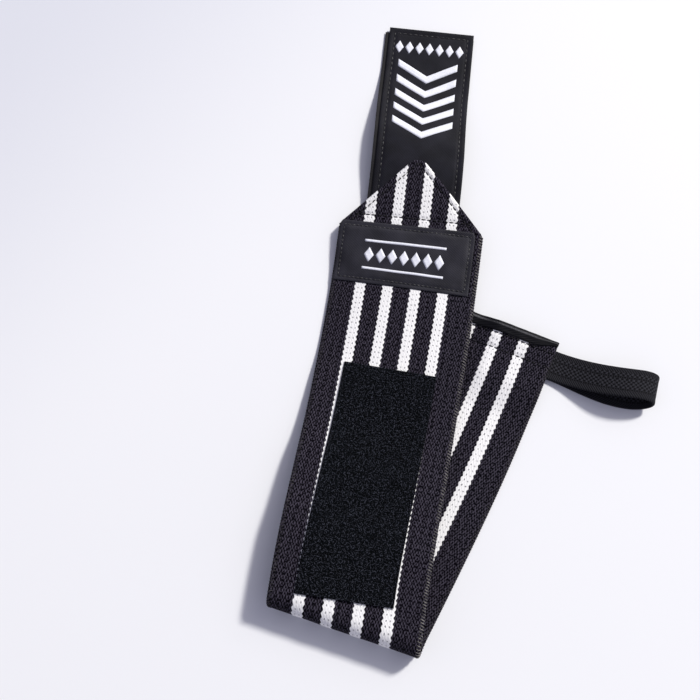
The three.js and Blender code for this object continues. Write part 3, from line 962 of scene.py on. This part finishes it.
# %% Seams of the band
slant_end = POINT_LENGTH - 1.0
slant_start = SEAM_INSET / np.sin(POINT_ANGLE)
slant_reach = (slant_end - slant_start) * np.tan(POINT_ANGLE)
SEAM_TOP = BAND_THICKNESS - 0.25
cross_reach = HALF_WIDTH - 1.5
point_reach = half_width_at(CROSS_SEAM) - 2.0
for name, path_along, path_across, above, facing in [
    ("point_seam", [slant_end, slant_start, slant_end], [-slant_reach, 0, slant_reach], SEAM_TOP, 1),
    ("cross_seam", [CROSS_SEAM, CROSS_SEAM], [-point_reach, point_reach], SEAM_TOP, 1),
    ("hem_seam", [HEM_SEAM, HEM_SEAM], [-cross_reach, cross_reach], 0.25, -1),
    ("hem_second_seam", [HEM_SECOND_SEAM, HEM_SECOND_SEAM], [-cross_reach, cross_reach], 0.25, -1),
]:
    seam = sew(name, path_along, path_across, above, thread, facing=facing)
    band_trim.append(seam)
print("band trim:", ", ".join(piece.name for piece in band_trim))


# %% [markdown]
# ## Cloth sewn on the band
# The label, the tab's face, its hook tape and the ground of the fuzzy patch are rectangles with
# rounded borders. All but the hook tape are drawn in along a seam and a little uneven. A small
# class keeps one rectangle's extent, says where its two faces are at any place and gives the path
# of its seam.

# %% A sewn rectangle
class SewnCloth:
    """A rectangle sewn on the band, from start to end along it and from left to right across it."""

    def __init__(self, start, end, left, right, low, high, skew=0.0):
        self.start, self.end, self.left, self.right = start, end, left, right
        self.low, self.high, self.skew = low, high, skew
        self.seam_inset = 1.8
        self.seam_depth = 0.0
        self.settle = 0.0
        self.wave = 0.0
        self.radius = 0.6

    def drift(self, along):
        """Sideways drift of the skewed rectangle's middle, as in the solids."""
        return self.skew * ((self.start + self.end) / 2 - along)

    def inside(self, along, across):
        """Distance inside the nearest edge."""
        sides = np.minimum(across - self.left, self.right - across)
        return np.minimum(np.minimum(along - self.start, self.end - along), sides)

    def faces(self, along, across):
        """Heights of the lower and upper face: rounded at the edge, drawn in at the seam."""
        inside = self.inside(along, across)
        puff = self.wave * ripple(along, across, 23.0, self.start) * smooth(inside / 4)
        shift = puff - self.settle * (1 - smooth(inside / 5))
        half = (self.high - self.low) / 2 * roundness(inside, self.radius)
        centre = (self.high + self.low) / 2 + shift
        return centre - half, centre + half - self.seam_depth * groove(inside - self.seam_inset, 0.7)

    def build(self, name, material, step=1.0, place=lay):
        """The closed mesh of the rectangle."""
        along = crowded(self.start, self.end, step, 1.2)[:, None]
        across = crowded(self.left, self.right, step, 1.2)[None]
        low, high = self.faces(along, across)
        return cloth_piece(name, along, across + self.drift(along), low, high, material, place)

    def seam_path(self, inset, sides="left start right end"):
        """Corner places of a seam round the rectangle, as (along, across)."""
        near, far = self.start + inset, self.end - inset
        left, right = self.left + inset, self.right - inset
        corners = [(far, left), (near, left), (near, right), (far, right)]
        if "end" in sides:
            corners.append((far, left))
        along, across = np.array(corners).T
        return along, across + self.drift(along)


# %% Label
LABEL_BOTTOM = BAND_THICKNESS + CLEARANCE
LABEL_HEM = 2.0  # the label's turned edge reaches so far beyond the solid towards the point
label = SewnCloth(
    LABEL_START - LABEL_HEM, LABEL_START + LABEL_LENGTH,
    LABEL_INSET - HALF_WIDTH, HALF_WIDTH - SELVEDGE_WIDTH,
    LABEL_BOTTOM, LABEL_BOTTOM + LABEL_THICKNESS,
)
LABEL_SEAM_INSET = 2.4
label.seam_inset, label.seam_depth, label.settle, label.wave = LABEL_SEAM_INSET, 0.42, 0.38, 0.32


def lay_label(along, across, above):
    """The band's lay, drawn in sideways where the label's corners would pass the slanted edges."""
    room = (half_width_at(along) - 0.6) / (HALF_WIDTH - LABEL_INSET)
    return lay(along, across * np.minimum(1, room), above)


label_cloth = label.build("label_cloth", satin, place=lay_label)
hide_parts("label_patch")
label_seam = sew(
    "label_seam", *label.seam_path(LABEL_SEAM_INSET), LABEL_BOTTOM + 0.3, glint, length=2.3, width=0.5
)


# %% Tab face and hook tape
tab = SewnCloth(-TAB_LENGTH, TAB_ROOT, -TAB_LEFT, TAB_RIGHT, TAB_TOP - TAB_FACE_THICKNESS, TAB_TOP)
TAB_SEAM_INSET = 3.2
tab.seam_inset, tab.seam_depth, tab.wave = TAB_SEAM_INSET, 0.45, 0.14
tab_cloth = tab.build("tab_cloth", shaded_tab_satin)
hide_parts("tab_face")
tab_path = tab.seam_path(TAB_SEAM_INSET, "left start right")
tab_seam = sew("tab_seam", *tab_path, TAB_TOP - 0.36, glint, length=3.0, width=0.5)

HOOK_LENGTH = 0.65
hook_ground = SewnCloth(
    HOOK_SHORTNESS - TAB_LENGTH, TAB_ROOT, -HOOK_LEFT, HOOK_RIGHT,
    -TAB_STACK + HOOK_LENGTH, -TAB_STACK + HOOK_THICKNESS,
)
hook_ground.radius = 0.3
hook_tape = hook_ground.build("hook_tape", hook_cloth, step=1.5)
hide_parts("tab_hook")


# %% [markdown]
# Beneath the tape stand over a thousand tiny hooks. Each is a tube that goes straight down and then
# curls back: past the stem, its route is part of a circle.

# %% Hooks beneath the tab
HOOK_PITCH = 1.9


def hook_field():
    """Rows of hooks on the lower face of the hook tape, every second row moved by half a pitch."""
    along, across = np.meshgrid(
        np.arange(hook_ground.start + 1.5, hook_ground.end - 1, HOOK_PITCH),
        np.arange(hook_ground.left + 1.5, hook_ground.right - 1.5, HOOK_PITCH), indexing="ij",
    )
    across = across + HOOK_PITCH / 2 * (np.arange(len(along))[:, None] % 2)
    along, across = along.reshape(-1, 1), across.reshape(-1, 1)
    curl = 0.17
    angle = np.array([0, 0, 0.9, 2.0, 3.3])
    out = curl * (1 - np.cos(angle))
    down = np.array([0, 0.4, 0.4, 0.4, 0.4]) + curl * np.sin(angle)
    base = -TAB_STACK + HOOK_LENGTH + 0.03
    centre = lay(along + out, across, base - down)
    hint = lay(along + out, across + 1, base - down) - centre
    return tubes("hooks", centre, hint, 0.07, 4, hook_cloth)


hooks = hook_field()
print("hooks", len(hooks.data.polygons), "faces")


# %% [markdown]
# ## Printed motifs
# The label and the tab carry plain white motifs. A motif is a closed sheet a tenth of a
# millimetre thick over the cloth: a diamond is a square grid turned by an eighth of a turn, and a
# chevron is a bar whose middle line is the absolute value of the place across.

# %% Print on cloth
def printed(name, cloth, along, across):
    """White ink over a sewn rectangle, for one grid or many; it follows the cloth's upper face."""
    high = cloth.faces(along, across)[1]
    ink_piece = cloth_piece(name, along, across + cloth.drift(along), high - 0.04, high + 0.05, ink)
    return ink_piece


def diamond_grid(centre_along, centre_across, length, width):
    """Grids of diamonds: one side runs by the sum and the other by the difference of two parameters."""
    p, q = np.meshgrid(np.linspace(-0.5, 0.5, 5), np.linspace(-0.5, 0.5, 5), indexing="ij")
    along = np.reshape(centre_along, (-1, 1, 1)) + (p + q) / 2 * length
    across = np.reshape(centre_across, (-1, 1, 1)) + (q - p) / 2 * width
    return np.broadcast_arrays(along, across)


def bar_grid(centre_along, centre_across, thickness, width):
    """Grids of straight bars that run across the band."""
    p, q = np.meshgrid(np.linspace(-0.5, 0.5, 3), np.linspace(-0.5, 0.5, 41), indexing="ij")
    along = np.reshape(centre_along, (-1, 1, 1)) + p * thickness
    return np.broadcast_arrays(along, centre_across + q * width)


def chevron_grid(centre_along, centre_across, thickness, width, rise):
    """Grids of chevrons that point to the band: a bar pushed along by the distance from its middle."""
    p, q = np.meshgrid(np.linspace(-0.5, 0.5, 4), np.linspace(-0.5, 0.5, 31), indexing="ij")
    along = np.reshape(centre_along, (-1, 1, 1)) + p * thickness + rise * (0.5 - 2 * np.abs(q))
    return np.broadcast_arrays(along, centre_across + q * width)


label_centre = LABEL_START + LABEL_LENGTH / 2
label_middle = (label.left + label.right) / 2
bar_places = label_centre + 7.6 * np.array([-1, 1])
label_places = label_middle + 6.2 * np.arange(-3, 4)
motifs = [
    printed("label_diamonds", label, *diamond_grid(label_centre, label_places, 8.2, 5.2)),
    printed("label_bars", label, *bar_grid(bar_places, label_middle, 1.3, 43.0)),
]
tab_places = 5.6 * np.arange(-3, 4)
chevron_places = np.linspace(-53.5, -17.5, 5)
motifs += [
    printed("tab_diamonds", tab, *diamond_grid(-67.6, tab_places, 7.4, 4.7)),
    printed("tab_chevrons", tab, *chevron_grid(chevron_places, 0.0, 4.3, 33.0, 9.0)),
]
print("motifs:", ", ".join(piece.name for piece in motifs))


# %% [markdown]
# ## Fuzzy patch
# The patch is a thin ground covered in loops of yarn. A loop is an arch, a cosine out and a sine
# up, with its own size, heading and lean. Their places are a regular lattice shaken by a seeded
# random generator, so the pile is the same in every run.

# %% Pile
patch = SewnCloth(
    PATCH_START, PATCH_START + PATCH_LENGTH, PATCH_SHIFT - PATCH_WIDTH / 2, PATCH_SHIFT + PATCH_WIDTH / 2,
    BAND_THICKNESS + 0.1, BAND_THICKNESS + 1.35, PATCH_SKEW,
)
patch.radius, patch.wave, patch.seam_inset, patch.seam_depth = 1.0, 0.15, 1.6, 0.25
patch_ground = patch.build("patch_ground", pile_base, step=0.9)
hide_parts("loop_patch")

PILE_PITCH = 0.92
dice = np.random.default_rng(7)


def pile_loops():
    """Arched loops over the whole patch, lower at its border."""
    along, across = np.meshgrid(
        np.arange(patch.start + 0.5, patch.end - 0.4, PILE_PITCH),
        np.arange(patch.left + 0.5, patch.right - 0.4, PILE_PITCH), indexing="ij",
    )
    along, across = along.reshape(-1, 1), across.reshape(-1, 1)
    along = along + dice.uniform(-0.45, 0.45, along.shape)
    across = across + dice.uniform(-0.45, 0.45, across.shape)
    heading_angle = dice.uniform(0, np.pi, along.shape)
    reach = dice.uniform(0.30, 0.55, along.shape)
    lean = dice.normal(0, 0.22, along.shape)
    rise = dice.uniform(0.45, 1.0, along.shape)
    arch = np.linspace(0, np.pi, 5)
    out, up = reach * np.cos(arch), rise * np.sin(arch)
    forward_along = along + out * np.cos(heading_angle) - lean * up * np.sin(heading_angle)
    forward_across = across + out * np.sin(heading_angle) + lean * up * np.cos(heading_angle)
    root = patch.faces(along, across)[1]
    centre = lay(forward_along, forward_across + patch.drift(along), root - 0.12 + up)
    beside = np.concatenate([-np.sin(heading_angle), np.cos(heading_angle)], axis=1)
    side_point = lay(along + beside[:, :1], across + beside[:, 1:] + patch.drift(along), root)
    hint = side_point - lay(along, across + patch.drift(along), root)
    return tubes("pile_loops", centre, hint, 0.095, 4, pile)


pile_piece = pile_loops()
print("pile", len(pile_piece.data.polygons), "faces")


# %% [markdown]
# ## Bound end and thumb loop
# A folded tape is wrapped round the band's end like a channel. It is a sheet too: its rows run
# along the upper face, round the end in half an ellipse and back along the lower face. At the
# thumb loop the tape runs out in a taper.

# %% Binding
BINDING_BEND = 2.2  # mm of the tape's half width that go round the end
BINDING_RUN = BINDING_COVER + BINDING_BEND


def lay_binding(run, across, above):
    """The tape's middle is at run 0; past the bend each half lies flat for the tape's cover."""
    narrowing = smooth((across - (HALF_WIDTH - BINDING_TAPER_LENGTH)) / BINDING_TAPER_LENGTH)
    cover = BINDING_COVER * (1 - BINDING_TAPER * narrowing)
    flat = np.clip((np.abs(run) - BINDING_BEND) / BINDING_COVER, 0, 1)
    angle = np.pi / 2 * (1 + np.clip(run / BINDING_BEND, -1, 1))
    along = BAND_LENGTH + (CLEARANCE + above) * np.sin(angle) - flat * cover
    height = BAND_THICKNESS / 2 + (BAND_THICKNESS / 2 + CLEARANCE / 2 + above) * np.cos(angle)
    return lay(along, across, height)


run = np.linspace(-BINDING_RUN, BINDING_RUN, 41)[:, None]
station = np.linspace(-HALF_WIDTH, HALF_WIDTH, 110)[None]
from_edge = np.minimum(BINDING_RUN - np.abs(run), HALF_WIDTH + 0.3 - np.abs(station))
swell = 0.20 * groove(np.abs(run) - 3.6, 1.6) + 0.07 * ripple(run, station, 9.0, 3.0)
outer = BINDING_THICKNESS * roundness(from_edge, 0.8) + swell - 0.15
binding = cloth_piece("binding", run, station, 0.0 * run, outer, tape, place=lay_binding)
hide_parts("end_binding")


# %% [markdown]
# The thumb loop is a strip whose route lies close to an upright plane. The route goes out from
# under the hem, rises, turns round half an ellipse and comes back on the table, swinging a little
# to one side. The strip is laid along it just as the band is laid along its middle line.

# %% Route of the thumb loop
hem_left, hem_right = lay(BAND_LENGTH, 0.0), lay(BAND_LENGTH, HALF_WIDTH)
loop_start = lay(BAND_LENGTH - LOOP_INSET - LOOP_WIDTH / 2, HALF_WIDTH) * [1, 1, 0]
hem_direction = np.arctan2(*(hem_right - hem_left)[1::-1]) + LOOP_TURN
OUTWARD = np.array([np.cos(hem_direction), np.sin(hem_direction), 0])
SIDEWAYS = np.array([-OUTWARD[1], OUTWARD[0], 0])

LOWER_MIDDLE = LOOP_THICKNESS / 2
UPPER_MIDDLE = 1.5 * LOOP_THICKNESS + CLEARANCE
ARCH_MIDDLE = LOOP_HEIGHT - LOOP_THICKNESS / 2
ARCH_START = LOOP_ARCH_SHARE * LOOP_REACH
ARCH_DEPTH = (1 - LOOP_ARCH_SHARE) * LOOP_REACH - LOWER_MIDDLE
ARCH_RISE = (ARCH_MIDDLE - LOWER_MIDDLE) / 2

rising = np.linspace(0, ARCH_START, 40)[1:]
turning = np.linspace(0, np.pi, 30)[1:]
returning = np.linspace(ARCH_START, -LOOP_ROOT, 60)[1:]
route_out = np.concatenate([
    np.linspace(-LOOP_ROOT, 0, 20), rising, ARCH_START + ARCH_DEPTH * np.sin(turning),
    returning,
])
route_up = np.concatenate([
    np.full(20, UPPER_MIDDLE), mix(UPPER_MIDDLE, ARCH_MIDDLE, smooth(rising / ARCH_START)),
    LOWER_MIDDLE + ARCH_RISE * (1 + np.cos(turning)), np.full(59, LOWER_MIDDLE),
])
splay_share = np.concatenate([
    np.zeros(20 + len(rising)), smooth(turning / np.pi), smooth(returning / ARCH_START),
])
route_swing = LOOP_BOW * np.sin(np.pi * np.clip(route_out / LOOP_REACH, 0, 1)) + LOOP_SPLAY * splay_share
route_walked = np.concatenate([[0], np.cumsum(np.hypot(np.diff(route_out), np.diff(route_up)))])
LOOP_LENGTH = route_walked[-1]


def lay_loop(run, side, above):
    """A point of the strip: so far along the route, to one side of it and out from its middle."""
    run, side, above = np.broadcast_arrays(run, side, above)
    out, up = np.interp(run, route_walked, route_out), np.interp(run, route_walked, route_up)
    ahead = np.interp(run + 1, route_walked, route_out) - np.interp(run - 1, route_walked, route_out)
    climb = np.interp(run + 1, route_walked, route_up) - np.interp(run - 1, route_walked, route_up)
    length = np.hypot(ahead, climb)
    out, up = out - climb / length * above, up + ahead / length * above
    aside = side - np.interp(run, route_walked, route_swing)
    plan = loop_start + out[..., None] * OUTWARD + aside[..., None] * SIDEWAYS
    return plan + up[..., None] * np.array([0, 0, 1])


# %% Thumb loop
LOOP_BORDER = 2.6
run = crowded(0, LOOP_LENGTH, 0.9, 0.8)[:, None]
side = crowded(-LOOP_WIDTH / 2, LOOP_WIDTH / 2, 0.7, 0.8)[None]
inside = np.minimum(LOOP_WIDTH / 2 - np.abs(side), np.minimum(run, LOOP_LENGTH - run))
half_thickness = LOOP_THICKNESS / 2 * roundness(inside, 0.65)
ridge = 0.12 * smooth((np.abs(side) - (LOOP_WIDTH / 2 - LOOP_BORDER)) / 0.8) * smooth(inside)
waist = 1 + 0.04 * np.cos(2 * np.pi * run / LOOP_LENGTH)
face = half_thickness + ridge - 0.1
thumb_loop = cloth_piece("thumb_strip", run, side * waist, -face, face, loop_cloth, place=lay_loop)
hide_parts("thumb_loop")
print("thumb loop", round(LOOP_LENGTH), "mm of strip")


# %% [markdown]
# ## Flat sizes
# The sizes that each cloth was cut to are listed here.

def declare(piece, width, length, held, rests_on, with_pieces=(), area=None):
    """Converts a flat cut's area to square metres; nothing is kept or handed on."""
    area = None if area is None else area * METRES**2


cut_corners = HALF_WIDTH * POINT_LENGTH
band_area = BAND_WIDTH * BAND_LENGTH - cut_corners
declare(band, BAND_WIDTH, BAND_LENGTH, "folded", [thumb_loop, binding], band_trim, band_area)
label_trim, tab_trim = [label_seam, *motifs[:2]], [tab_seam, *motifs[2:]]
hook_size = (HOOK_LEFT + HOOK_RIGHT, hook_ground.end - hook_ground.start)
declare(label_cloth, label.right - label.left, label.end - label.start, "laid", [band], label_trim)
declare(tab_cloth, TAB_LEFT + TAB_RIGHT, TAB_LENGTH + TAB_ROOT, "laid", [hook_tape], tab_trim)
declare(hook_tape, *hook_size, "laid", [band], [hooks])
declare(patch_ground, PATCH_WIDTH, PATCH_LENGTH, "laid", [band], [pile_piece])
declare(binding, BAND_WIDTH, 2 * BINDING_RUN, "folded", [band])
declare(thumb_loop, LOOP_WIDTH, LOOP_LENGTH, "folded", [band])


# %% [markdown]
# ## The table
# The wrap lies on a plain white table that is staged, not part of the object. Its white is darkened
# a little towards the far left corner: painted shade for the light that falls off there.

# %% Floor
paper, paper_shader, paper_build = new_material("table_white", 0.6)
paper_place = paper_build.add("ShaderNodeTexCoord")
paper_parts = paper_build.add("ShaderNodeSeparateXYZ", {"Vector": paper_place.outputs["Object"]})
paper_far = paper_build.minus(paper_parts.outputs["Y"], paper_parts.outputs["X"])
# Painted shade: the table's colour darkens towards the far left corner.
painted_shade_share = paper_build.ramp(paper_far, 0.12, 0.45)
paper_colour = paper_build.mix(painted_shade_share, (0.84, 0.85, 0.88), (0.69, 0.705, 0.77))
paper_build.put(paper_shader.inputs["Base Color"], paper_colour)
floor_mesh = bpy.data.meshes.new("floor")
floor_mesh.from_pydata([(-3, -3, 0), (3, -3, 0), (3, 3, 0), (-3, 3, 0)], [], [(0, 1, 2, 3)])
floor_mesh.materials.append(paper)
floor = bpy.data.objects.new("floor", floor_mesh)
bpy.context.scene.collection.objects.link(floor)
